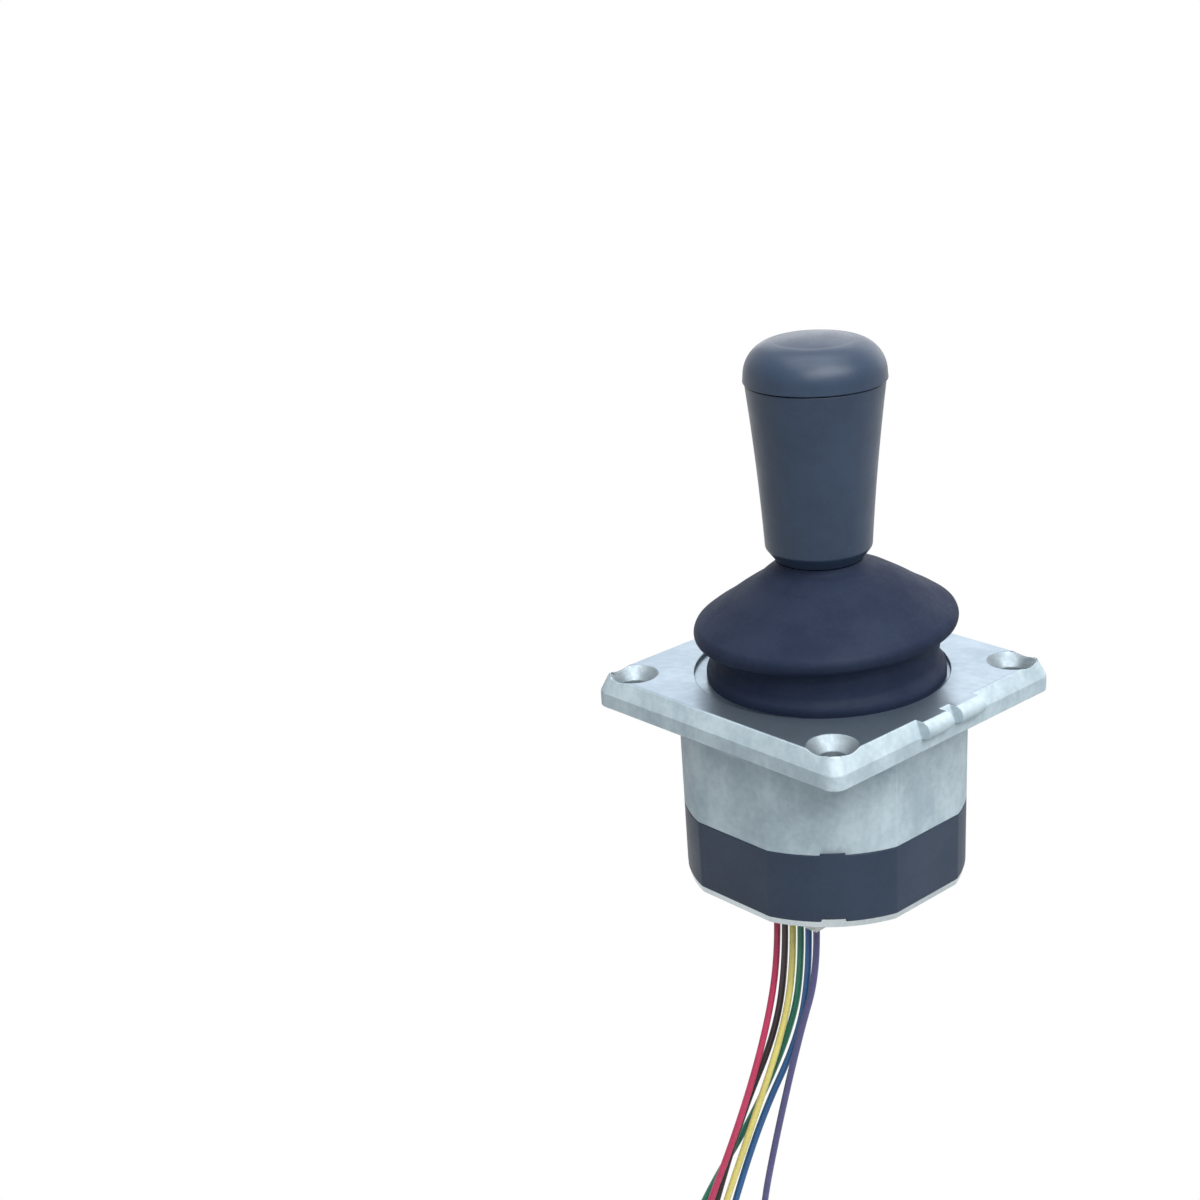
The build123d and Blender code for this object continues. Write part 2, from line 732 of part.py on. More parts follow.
def boot_outline():
    """Outer points of the rubber boot above its foot, from the foot to the collar."""
    return [
        (boot_foot_r - 0.3, recess_floor + boot_foot_h * 0.75),
        (boot_waist_r + 0.5, recess_floor + boot_foot_h + 0.3),
        (boot_waist_r, boot_waist_z),
        (boot_rise_r, boot_rise_z),
        (boot_bulge_r, boot_bulge_z),
        (boot_shoulder_r, boot_shoulder_z),
        ((boot_shoulder_r + boot_neck_r) / 2, (boot_shoulder_z + boot_neck_z) / 2),
        (boot_neck_r, boot_neck_z),
        (boot_collar_r, washer_top + boot_collar_bend),
    ]


def boot():
    """Moulded rubber boot: trapped lip, foot, waist, bulge, cone and clamped collar."""
    outer = boot_outline()
    lip_r = limiter_r - boot_lip_width + slip
    inner_wall = limiter_r + 0.35
    lip_top = recess_floor + boot_lip_t
    inner = [
        (boot_waist_r - boot_wall, boot_waist_z),
        (boot_rise_r - boot_wall * 0.8, boot_rise_z + boot_wall * 0.5),
        (boot_bulge_r - boot_wall, boot_bulge_z),
        (boot_shoulder_r - boot_wall * 0.5, boot_shoulder_z - boot_wall * 0.85),
        (washer_r + 2.4, washer_top - boot_wall * 0.9),
    ]
    bore = stud_d / 2 + slip
    with BuildPart() as skin:
        with BuildSketch(Plane.XZ):
            with BuildLine():
                Polyline((lip_r, lip_top), (lip_r, recess_floor), (boot_foot_r, recess_floor), outer[0])
                Spline(*outer)
                Polyline(outer[-1], (boot_collar_r, collar_top), (bore, collar_top), (bore, washer_top))
                Polyline((bore, washer_top), (washer_r + seat_gap, washer_top), inner[-1])
                Spline(*reversed(inner))
                Polyline(inner[0], (inner_wall, lip_top), (lip_r, lip_top))
            make_face()
        revolve(axis=Axis.Z)
    return skin.part


def limiter_plate():
    """Steel plate that traps the boot's lip; the lever stops against its square opening."""
    plate = rod(limiter_r, recess_floor, limiter_top)
    side = 2 * limiter_half
    opening = extrude(RectangleRounded(side, side, limiter_corner_r), limiter_t + 2)
    plate -= Pos(0, 0, recess_floor - 1) * opening
    lip_top = recess_floor + boot_lip_t + slip
    plate -= tube(limiter_r + 1, limiter_r - boot_lip_width, recess_floor - 1, lip_top)
    sink = (limiter_screw_head_d - limiter_screw_d) / 2
    for x, y in ring_places(limiter_screw_ring_r):
        cone = Cone(limiter_screw_d / 2 + slip, limiter_screw_head_d / 2 + slip, sink)
        plate -= rod(limiter_screw_d / 2 + slip, recess_floor - 1, limiter_top + 1, x, y)
        plate -= Pos(x, y, limiter_top - sink / 2) * cone
    return plate


def limiter_screws():
    """Four countersunk screws through the limiter plate into the web."""
    sink = (limiter_screw_head_d - limiter_screw_d) / 2
    top = limiter_top
    made = []
    for x, y in ring_places(limiter_screw_ring_r):
        head = Pos(x, y, top - sink / 2) * Cone(limiter_screw_d / 2, limiter_screw_head_d / 2, sink)
        slot = block(x - 1.2, x + 1.2, y - 0.25, y + 0.25, top - 0.5, top + 1)
        made.append(head + rod(limiter_screw_d / 2, top - limiter_screw_len, top - sink, x, y) - slot)
    return made


def sensor_board():
    """Round circuit board, notched for the screw bosses and drilled for screws and pins."""
    board = rod(board_r, board_bottom, board_top)
    for x, y in ring_places(plate_screw_ring_r):
        board -= rod(screw_boss_r + 0.3, board_bottom - 1, board_top + 1, x, y)
    for x, y in ring_places(board_post_ring_r, count=2, start=45):
        board -= rod(board_screw_d / 2 + slip, board_bottom - 1, board_top + 1, x, y)
    half = header_pin / 2 + slip
    for x in ways_x:
        board -= block(x - half, x + half, plug_y - half, plug_y + half, board_bottom - 1, board_top + 1)
    return board


def board_screws():
    """Two screws that hold the board to the shell's posts."""
    sizes = (board_bottom, board_screw_len, board_screw_d, board_screw_head_d, board_screw_head_h)
    return [pan_head_screw(x, y, *sizes) for x, y in ring_places(board_post_ring_r, count=2, start=45)]


def hall_sensor():
    """Field sensor on the board, right under the lever's magnet."""
    half = sensor_side / 2
    return block(-half, half, -half, half, board_top, board_top + sensor_h)


def package(x, y, width, length, height):
    """Plain component body standing on the board."""
    return Pos(x, y, board_top + height / 2) * Box(width, length, height)


def board_parts():
    """Controller, regulator, capacitor and a row of small resistors on the board."""
    parts = [
        package(chip_x, chip_y, chip_side, chip_side, chip_t),
        package(regulator_x, regulator_y, regulator_width, regulator_len, regulator_t),
        rod(capacitor_r, board_top, board_top + capacitor_h, capacitor_x, capacitor_y),
    ]
    for i in range(4):
        x = resistor_x + resistor_pitch * i
        parts.append(package(x, resistor_y, resistor_width, resistor_len, resistor_t))
    return parts


def pin_header():
    """White shroud on the board, open below, that receives the plug."""
    low = board_bottom - header_h
    half_l = header_len / 2
    half_w = header_width / 2
    shroud = block(plug_x - half_l, plug_x + half_l, plug_y - half_w, plug_y + half_w, low, board_bottom)
    in_l = half_l - header_wall
    in_w = half_w - header_wall
    roof = board_bottom - header_floor
    shroud -= block(plug_x - in_l, plug_x + in_l, plug_y - in_w, plug_y + in_w, low - 1, roof)
    half = header_pin / 2 + slip
    for x in ways_x:
        shroud -= block(x - half, x + half, plug_y - half, plug_y + half, roof - 1, board_bottom + 1)
    return shroud


def header_pins():
    """Six square pins through the board into the shroud."""
    top = board_top + header_pin_tail
    half = header_pin / 2
    low = top - header_pin_len
    return [block(x - half, x + half, plug_y - half, plug_y + half, low, top) for x in ways_x]


def plug_housing():
    """White six-way crimp plug with latch slots on the side that faces the pan's middle."""
    half_l = header_len / 2 - header_wall - plug_gap
    half_w = header_width / 2 - header_wall - plug_gap
    top = board_bottom - header_floor - plug_gap
    plug = block(plug_x - half_l, plug_x + half_l, plug_y - half_w, plug_y + half_w, plug_end_z, top)
    plug = chamfer(plug.edges().filter_by(Axis.X).sort_by(Axis.Z)[:2], 0.3)
    half = terminal_side / 2 + terminal_gap
    for x in ways_x:
        plug -= block(x - half, x + half, plug_y - half, plug_y + half, plug_end_z + plug_floor, top + 1)
        slot = plug_slot_width / 2
        face = plug_y + half_w
        low = plug_end_z + plug_floor * 0.5
        plug -= block(x - slot, x + slot, face - plug_slot_depth, face + 1, low, low + plug_slot_h)
    return plug


def plug_terminals():
    """Six crimped sockets in the plug, each round its pin."""
    half = terminal_side / 2
    hole = header_pin / 2 + slip
    low = plug_end_z + plug_floor
    top = board_bottom - header_floor - plug_gap - 0.3
    made = []
    for x in ways_x:
        socket = block(x - half, x + half, plug_y - half, plug_y + half, low, top)
        bore = block(x - hole, x + hole, plug_y - hole, plug_y + hole, low + 1, top + 1)
        made.append(socket - bore)
    return made


def sticker():
    """Bare sticker round the +Y flat and part of the next rounded corner."""
    low = shell_bottom + sticker_low
    ring = drum(low, low + sticker_h, -sticker_t) - drum(low - 1, low + sticker_h + 1)
    h = body_half
    start = sticker_on_flat - flat_half
    end = math.acos(-flat_half / body_r) + sticker_on_corner / body_r
    inside = ((body_r - 4) * math.cos(end), (body_r - 4) * math.sin(end))
    outside = ((body_r + 3) * math.cos(end), (body_r + 3) * math.sin(end))
    region = [(start, h + 2), (start, h - 3), inside, outside, (-flat_half, h + 2)]
    area = Pos(0, 0, low - 1) * extrude(make_face(Polyline(*region, close=True)), sticker_h + 2)
    return ring & area


# Routes of the six leads: straight down out of the plug, then a loose sweep to one side
wire_routes = {
    "violet": [
        (8.5, -12.3, -40.1),
        (8.5, -12.3, -50.0),
        (6.2, -15.2, -63.0),
        (2.5, -18.7, -86.0),
        (-0.1, -21.1, -105.0),
        (-1.5, -21.2, -131.0),
        (-2.3, -20.5, -152.0),
        (-2.3, -19.8, -171.0),
        (-2.8, -20.0, -189.0),
    ],
    "blue": [
        (6.5, -12.3, -40.1),
        (6.5, -12.3, -50.0),
        (4.6, -13.8, -65.0),
        (-0.8, -19.4, -83.0),
        (-6.0, -24.7, -108.0),
        (-9.4, -28.1, -128.0),
        (-10.9, -28.9, -152.0),
        (-11.3, -28.6, -172.0),
        (-11.5, -28.4, -187.0),
    ],
    "green": [
        (4.5, -12.3, -40.1),
        (4.5, -12.3, -50.0),
        (2.3, -13.1, -64.0),
        (-4.1, -18.4, -85.0),
        (-11.7, -25.6, -104.0),
        (-19.1, -33.7, -132.0),
        (-24.3, -39.8, -151.0),
        (-27.3, -43.2, -172.0),
        (-28.6, -44.8, -182.0),
    ],
    "yellow": [
        (2.5, -12.3, -40.1),
        (2.5, -12.3, -50.0),
        (2.8, -15.9, -63.0),
        (-1.2, -21.7, -84.0),
        (-6.0, -27.6, -107.0),
        (-9.8, -31.2, -129.0),
        (-11.2, -33.2, -153.0),
        (-11.7, -34.1, -171.0),
        (-12.1, -34.5, -187.0),
    ],
    "black": [
        (0.5, -12.3, -40.1),
        (0.5, -12.3, -50.0),
        (0.1, -15.3, -65.0),
        (-3.9, -21.2, -82.0),
        (-8.7, -26.6, -107.0),
        (-13.3, -30.7, -132.0),
        (-16.4, -33.7, -150.0),
        (-18.6, -35.7, -173.0),
        (-20.0, -36.9, -186.0),
    ],
    "red": [
        (-1.5, -12.3, -40.1),
        (-1.5, -12.3, -50.0),
        (-0.5, -17.3, -64.0),
        (-2.8, -23.2, -83.0),
        (-8.0, -29.3, -105.0),
        (-13.0, -35.0, -130.0),
        (-17.1, -40.1, -154.0),
        (-19.5, -43.1, -171.0),
        (-20.7, -44.5, -184.5),
    ],
}


def bend_radii(points):
    """Arc for each corner: 0.45 of the shorter run over the tangent of half the turn."""
    radii = []
    for a, b, c in zip(points, points[1:], points[2:]):
        before = Vector(*b) - Vector(*a)
        after = Vector(*c) - Vector(*b)
        half_turn = math.radians(before.get_angle(after)) / 2
        radii.append(0.45 * min(before.length, after.length) / math.tan(half_turn))
    return radii


def wire(name):
    """One insulated lead along its route."""
    points = wire_routes[name]
    radii = bend_radii(points)
    path = FilletPolyline(*points, radius=radii)
    section = Plane(origin=path @ 0, z_dir=path % 0) * Circle(wire_d / 2)
    lead = sweep(section, path=path)
    area = math.pi * wire_d**2 / 4
    report = ["radii", [round(r) for r in radii], "length", round(path.length, 1)]
    print(name, *report, "volume over section", round(lead.volume / area, 1))
    return lead


def wire_tips():
    """Stripped and tinned ends of the six leads."""
    tips = []
    for points in wire_routes.values():
        end = Vector(*points[-1])
        heading = (end - Vector(*points[-2])).normalized()
        base = Plane(origin=end, z_dir=heading)
        tips.append(extrude(base * Circle(tip_d / 2), tip_len))
    return tips


def save(name, made):
    """Write one node, as a single solid or as a group of separate ones."""
    solids = []
    for piece in made if isinstance(made, list) else [made]:
        solids += piece.solids()
    node = solids[0] if len(solids) == 1 else Compound(children=solids)
    node.label = name
    export_step(node, f"parts/{name}.step")


rigid_pieces = [
    flange_housing,
    lower_shell,
    bottom_plate,
    plate_screws,
    gimbal_carrier,
    carrier_screws,
    outer_pivot_pins,
    gimbal_ring,
    ring_bushes,
    cross_pin,
    pin_clips,
    torsion_spring_x,
    torsion_spring_y,
    spacer_sleeve_x,
    spacer_sleeve_y,
    lever_hub,
    hub_bush,
    lever_shaft,
    boot_washer,
    collar_nut,
    magnet_holder,
    magnet,
    knob_insert,
    knob_grip,
    knob_cap,
    boot,
    limiter_plate,
    limiter_screws,
    sensor_board,
    board_screws,
    hall_sensor,
    board_parts,
    pin_header,
    header_pins,
    plug_housing,
    plug_terminals,
    sticker,
    wire_tips,
]
for make in rigid_pieces:
    save(make.__name__, make())
for colour in wire_routes:
    save(f"wire_{colour}", wire(colour))
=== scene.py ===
import math

import bmesh
import bpy
import numpy as np
from mathutils import Matrix, Vector


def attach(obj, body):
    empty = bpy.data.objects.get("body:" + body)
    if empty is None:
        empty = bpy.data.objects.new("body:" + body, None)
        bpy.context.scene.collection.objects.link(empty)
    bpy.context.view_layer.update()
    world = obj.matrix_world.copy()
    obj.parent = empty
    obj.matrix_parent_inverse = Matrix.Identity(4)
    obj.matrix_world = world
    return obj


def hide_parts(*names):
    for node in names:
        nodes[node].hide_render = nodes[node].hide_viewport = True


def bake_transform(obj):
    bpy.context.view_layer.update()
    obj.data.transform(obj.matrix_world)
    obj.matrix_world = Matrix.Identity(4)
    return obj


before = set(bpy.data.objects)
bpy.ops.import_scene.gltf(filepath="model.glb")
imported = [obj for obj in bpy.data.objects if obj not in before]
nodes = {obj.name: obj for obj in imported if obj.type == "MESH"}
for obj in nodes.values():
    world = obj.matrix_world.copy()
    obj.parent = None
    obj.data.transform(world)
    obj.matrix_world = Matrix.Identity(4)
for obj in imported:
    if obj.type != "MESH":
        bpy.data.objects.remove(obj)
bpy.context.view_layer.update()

MM = 0.001


# Viewpoint
# One camera stands in front of the corner between the stubbed side and the plug side, a little
# above the flange, and leans slightly, as the photographer's hand did.
camera_place = Vector((0.2338, -0.2558, 0.1480))
camera_aim = Vector((-0.0262, -0.0303, 0.0217))
camera_lean = math.radians(-3.59)
camera_data = bpy.data.cameras.new("camera")
camera_data.lens = 60.45
camera_data.sensor_width = 36.0
camera_data.clip_start = 0.01
camera = bpy.data.objects.new("camera", camera_data)
facing = (camera_aim - camera_place).to_track_quat("-Z", "Y").to_matrix().to_4x4()
camera.matrix_world = (Matrix.Translation(camera_place) @ facing
                       @ Matrix.Rotation(camera_lean, 4, "Z"))
bpy.context.scene.collection.objects.link(camera)
bpy.context.scene.camera = camera


# Six flying leads
# Stranded copper in thin PVC, each its own colour. They come straight down out of the crimp plug
# and hang in a loose sweep; their ends are stripped and tinned, for a terminal strip.
lead_d = 1.3 * MM
lead_shade = 0.82
lead_routes = {
    "violet": [
        (8.5, -12.3, -40.1),
        (8.5, -12.3, -50.0),
        (6.2, -15.2, -63.0),
        (2.5, -18.7, -86.0),
        (-0.1, -21.1, -105.0),
        (-1.5, -21.2, -131.0),
        (-2.3, -20.5, -152.0),
        (-2.3, -19.8, -171.0),
        (-2.8, -20.0, -189.0),
    ],
    "blue": [
        (6.5, -12.3, -40.1),
        (6.5, -12.3, -50.0),
        (4.6, -13.8, -65.0),
        (-0.8, -19.4, -83.0),
        (-6.0, -24.7, -108.0),
        (-9.4, -28.1, -128.0),
        (-10.9, -28.9, -152.0),
        (-11.3, -28.6, -172.0),
        (-11.5, -28.4, -187.0),
    ],
    "green": [
        (4.5, -12.3, -40.1),
        (4.5, -12.3, -50.0),
        (2.3, -13.1, -64.0),
        (-4.1, -18.4, -85.0),
        (-11.7, -25.6, -104.0),
        (-19.1, -33.7, -132.0),
        (-24.3, -39.8, -151.0),
        (-27.3, -43.2, -172.0),
        (-28.6, -44.8, -182.0),
    ],
    "yellow": [
        (2.5, -12.3, -40.1),
        (2.5, -12.3, -50.0),
        (2.8, -15.9, -63.0),
        (-1.2, -21.7, -84.0),
        (-6.0, -27.6, -107.0),
        (-9.8, -31.2, -129.0),
        (-11.2, -33.2, -153.0),
        (-11.7, -34.1, -171.0),
        (-12.1, -34.5, -187.0),
    ],
    "black": [
        (0.5, -12.3, -40.1),
        (0.5, -12.3, -50.0),
        (0.1, -15.3, -65.0),
        (-3.9, -21.2, -82.0),
        (-8.7, -26.6, -107.0),
        (-13.3, -30.7, -132.0),
        (-16.4, -33.7, -150.0),
        (-18.6, -35.7, -173.0),
        (-20.0, -36.9, -186.0),
    ],
    "red": [
        (-1.5, -12.3, -40.1),
        (-1.5, -12.3, -50.0),
        (-0.5, -17.3, -64.0),
        (-2.8, -23.2, -83.0),
        (-8.0, -29.3, -105.0),
        (-13.0, -35.0, -130.0),
        (-17.1, -40.1, -154.0),
        (-19.5, -43.1, -171.0),
        (-20.7, -44.5, -184.5),
    ],
}
lead_colours = {
    "violet": (0.085, 0.080, 0.215),
    "blue": (0.020, 0.110, 0.300),
    "green": (0.012, 0.190, 0.110),
    "yellow": (0.800, 0.700, 0.200),
    "black": (0.035, 0.022, 0.026),
    "red": (0.560, 0.035, 0.115),
}


def mottle_group():
    """Cloudy tone for any surface: two layered noises on Object coordinates, stretched by a
    vector, give a mask from 0 to 1, a colour between two, and a height for a Bump node."""
    group = bpy.data.node_groups.new("mottle", "ShaderNodeTree")
    sockets = {
        "INPUT": [("Coarse", "Float"), ("Fine", "Float"), ("Stretch", "Vector"), ("Low", "Float"),
                  ("High", "Float"), ("Dark", "Color"), ("Light", "Color"),
                  ("Rough Dark", "Float"), ("Rough Light", "Float")],
        "OUTPUT": [("Color", "Color"), ("Roughness", "Float"), ("Height", "Float"),
                   ("Mask", "Float")],
    }
    for side, wanted in sockets.items():
        for socket, kind in wanted:
            group.interface.new_socket(socket, in_out=side, socket_type="NodeSocket" + kind)
    fine_share = 0.25
    add = group.nodes.new
    link = group.links.new
    given = add("NodeGroupInput")
    out = add("NodeGroupOutput")
    place = add("ShaderNodeTexCoord")
    scaled = add("ShaderNodeVectorMath")
    scaled.operation = "MULTIPLY"
    link(place.outputs["Object"], scaled.inputs[0])
    link(given.outputs["Stretch"], scaled.inputs[1])
    coarse = add("ShaderNodeTexNoise")
    coarse.inputs["Detail"].default_value = 5.0
    coarse.inputs["Roughness"].default_value = 0.62
    fine = add("ShaderNodeTexNoise")
    fine.inputs["Detail"].default_value = 3.0
    link(scaled.outputs[0], coarse.inputs["Vector"])
    link(place.outputs["Object"], fine.inputs["Vector"])
    link(given.outputs["Coarse"], coarse.inputs["Scale"])
    link(given.outputs["Fine"], fine.inputs["Scale"])
    both = add("ShaderNodeMath")
    both.operation = "MULTIPLY_ADD"
    both.inputs[1].default_value = fine_share
    lowered = add("ShaderNodeMath")
    lowered.operation = "MULTIPLY"
    lowered.inputs[1].default_value = 1 - fine_share
    link(coarse.outputs["Fac"], lowered.inputs[0])
    link(fine.outputs["Fac"], both.inputs[0])
    link(lowered.outputs[0], both.inputs[2])
    spread = add("ShaderNodeMapRange")
    spread.interpolation_type = "SMOOTHSTEP"
    link(both.outputs[0], spread.inputs["Value"])
    link(given.outputs["Low"], spread.inputs["From Min"])
    link(given.outputs["High"], spread.inputs["From Max"])
    tone = add("ShaderNodeMix")
    tone.data_type = "RGBA"
    link(spread.outputs["Result"], tone.inputs[0])
    link(given.outputs["Dark"], tone.inputs[6])
    link(given.outputs["Light"], tone.inputs[7])
    rough = add("ShaderNodeMix")
    link(spread.outputs["Result"], rough.inputs[0])
    link(given.outputs["Rough Dark"], rough.inputs[2])
    link(given.outputs["Rough Light"], rough.inputs[3])
    link(tone.outputs[2], out.inputs["Color"])
    link(rough.outputs[0], out.inputs["Roughness"])
    link(both.outputs[0], out.inputs["Height"])
    link(spread.outputs["Result"], out.inputs["Mask"])
    return group


mottle = mottle_group()


def mottle_node(tree, dark, light, coarse, fine, rough, stretch, spread):
    """Mottle group in a material's tree, with its inputs set."""
    cloud = tree.nodes.new("ShaderNodeGroup")
    cloud.node_tree = mottle
    given = {"Coarse": coarse, "Fine": fine, "Stretch": stretch, "Low": spread[0],
             "High": spread[1], "Dark": (*dark, 1), "Light": (*light, 1),
             "Rough Dark": rough[0], "Rough Light": rough[1]}
    for socket, value in given.items():
        cloud.inputs[socket].default_value = value
    return cloud


def mottled(name, dark, light, coarse, fine, rough, stretch=(1, 1, 1), spread=(0.35, 0.65),
            bump=0.0, depth=0.05, **shader):
    """Principled material whose tone, roughness and bump come from the mottle group; depth is the
    bump's height in mm, and shader sets the Principled node's other sockets."""
    material = bpy.data.materials.new(name)
    material.use_nodes = True
    tree = material.node_tree
    skin = tree.nodes["Principled BSDF"]
    cloud = mottle_node(tree, dark, light, coarse, fine, rough, stretch, spread)
    tree.links.new(cloud.outputs["Color"], skin.inputs["Base Color"])
    tree.links.new(cloud.outputs["Roughness"], skin.inputs["Roughness"])
    if bump:
        relief = tree.nodes.new("ShaderNodeBump")
        relief.inputs["Strength"].default_value = bump
        relief.inputs["Distance"].default_value = depth * MM
        tree.links.new(cloud.outputs["Height"], relief.inputs["Height"])
        tree.links.new(relief.outputs["Normal"], skin.inputs["Normal"])
    for socket, value in shader.items():
        skin.inputs[socket.replace("_", " ")].default_value = value
    return material


def hanging_lead(name, points):
    """Open quadratic NURBS with the route's points as its control points and a round bevel."""
    curve = bpy.data.curves.new("lead_" + name, "CURVE")
    curve.dimensions = "3D"
    curve.bevel_depth = lead_d / 2
    curve.bevel_resolution = 4
    curve.resolution_u = 24
    curve.use_fill_caps = True
    spline = curve.splines.new("NURBS")
    spline.points.add(len(points) - 1)
    for point, place in zip(spline.points, points):
        point.co = (*(x * MM for x in place), 1)
    spline.order_u = 3
    spline.use_endpoint_u = True
    lead = bpy.data.objects.new("lead_" + name, curve)
    bpy.context.scene.collection.objects.link(lead)
    return lead


for colour, route in lead_routes.items():
    lead = hanging_lead(colour, route)
    base = lead_colours[colour]
    shade = tuple(lead_shade * c for c in base)
    pvc = mottled("pvc_" + colour, shade, base, 90, 900, (0.42, 0.34), bump=0.15, depth=0.02)
    lead.data.materials.append(pvc)
    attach(lead, "housing")
    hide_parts("wire_" + colour)


# Floor and light
# A pale floor under the hanging leads and a white surround. Three soft studio panels light the
# object from above, from the front and from behind.
floor_z = -0.215
floor_half = 1.6
floor_mesh = bpy.data.meshes.new("floor")
floor_corners = [(-1, -1), (1, -1), (1, 1), (-1, 1)]
floor_mesh.from_pydata([(floor_half * x, floor_half * y, floor_z) for x, y in floor_corners], [],
                       [(0, 1, 2, 3)])
floor = bpy.data.objects.new("floor", floor_mesh)
bpy.context.scene.collection.objects.link(floor)


def seen_directly(tree):
    """1 for a camera ray and for a ray off a glossy surface, 0 for any other: the larger of the
    Light Path node's two outputs."""
    ray = tree.nodes.new("ShaderNodeLightPath")
    seen = tree.nodes.new("ShaderNodeMath")
    seen.operation = "MAXIMUM"
    tree.links.new(ray.outputs["Is Camera Ray"], seen.inputs[0])
    tree.links.new(ray.outputs["Is Glossy Ray"], seen.inputs[1])
    return seen.outputs[0]


def studio_floor():
    """Pale floor: white to the camera and in reflections, plain diffuse to the light, and open
    from below, so that the underside can be seen."""
    material = bpy.data.materials.new("studio_floor")
    material.use_nodes = True
    tree = material.node_tree
    tree.nodes.clear()
    out = tree.nodes.new("ShaderNodeOutputMaterial")
    matte = tree.nodes.new("ShaderNodeBsdfDiffuse")
    matte.inputs["Color"].default_value = (0.55, 0.57, 0.58, 1)
    glow = tree.nodes.new("ShaderNodeEmission")
    glow.inputs["Color"].default_value = (1, 1, 1, 1)
    clear = tree.nodes.new("ShaderNodeBsdfTransparent")
    bright = tree.nodes.new("ShaderNodeMixShader")
    tree.links.new(seen_directly(tree), bright.inputs[0])
    tree.links.new(matte.outputs[0], bright.inputs[1])
    tree.links.new(glow.outputs[0], bright.inputs[2])
    side = tree.nodes.new("ShaderNodeNewGeometry")
    sided = tree.nodes.new("ShaderNodeMixShader")
    tree.links.new(side.outputs["Backfacing"], sided.inputs[0])
    tree.links.new(bright.outputs[0], sided.inputs[1])
    tree.links.new(clear.outputs[0], sided.inputs[2])
    tree.links.new(sided.outputs[0], out.inputs["Surface"])
    return material


floor_mesh.materials.append(studio_floor())

world = bpy.data.worlds.new("surround")
bpy.context.scene.world = world
world.use_nodes = True
sky = world.node_tree
sky.nodes.clear()
surround = sky.nodes.new("ShaderNodeOutputWorld")
seen_white = sky.nodes.new("ShaderNodeBackground")
seen_white.inputs["Color"].default_value = (1, 1, 1, 1)
seen_white.inputs["Strength"].default_value = 1.0
fill = sky.nodes.new("ShaderNodeBackground")
fill.inputs["Color"].default_value = (0.86, 0.94, 1.0, 1)
# The studio's walls are darker to the left of the camera (-Y) than behind and to its right:
# strength = fill_level (1 + 0.5 x + 0.7 y) for the unit direction (x, y, z) of the light.
fill_level = 0.24
sky_way = sky.nodes.new("ShaderNodeTexCoord")
sky_lean = sky.nodes.new("ShaderNodeVectorMath")
sky_lean.operation = "DOT_PRODUCT"
sky_lean.inputs[1].default_value = (0.5 * fill_level, 0.7 * fill_level, 0)
sky_level = sky.nodes.new("ShaderNodeMath")
sky_level.operation = "ADD"
sky_level.inputs[1].default_value = fill_level
sky.links.new(sky_way.outputs["Generated"], sky_lean.inputs[0])
sky.links.new(sky_lean.outputs["Value"], sky_level.inputs[0])
sky.links.new(sky_level.outputs[0], fill.inputs["Strength"])
sky_mix = sky.nodes.new("ShaderNodeMixShader")
sky.links.new(seen_directly(sky), sky_mix.inputs[0])
sky.links.new(fill.outputs[0], sky_mix.inputs[1])
sky.links.new(seen_white.outputs[0], sky_mix.inputs[2])
sky.links.new(sky_mix.outputs[0], surround.inputs["Surface"])


def softbox(name, place, aim, width, height, power):
    """Rectangular studio panel at place, facing aim, of width by height metres and power watts."""
    data = bpy.data.lights.new(name, "AREA")
    data.shape = "RECTANGLE"
    data.size = width
    data.size_y = height
    data.energy = power
    panel = bpy.data.objects.new(name, data)
    turn = (Vector(aim) - Vector(place)).to_track_quat("-Z", "Y").to_matrix().to_4x4()
    panel.matrix_world = Matrix.Translation(place) @ turn
    bpy.context.scene.collection.objects.link(panel)


softbox("panel_over", (0.05, -0.06, 0.75), (0, 0, 0.02), 0.8, 0.7, 5.4)
softbox("panel_front", (0.47, -0.20, 0.54), (0, 0, 0.02), 0.9, 0.35, 6.6)
softbox("panel_back", (-0.30, 0.70, 0.34), (0, 0, 0.03), 1.2, 0.7, 2.4)


# Die-cast housing
# Pressure die-cast aluminium, left as cast on its flanks and rim, with a burnished face round the
# boot and four turned countersinks. Four M4 screws through the flange hold it to the panel.
hole_place = 24.5  # half of the screw holes' spacing
sharp_turn = math.radians(24.0)


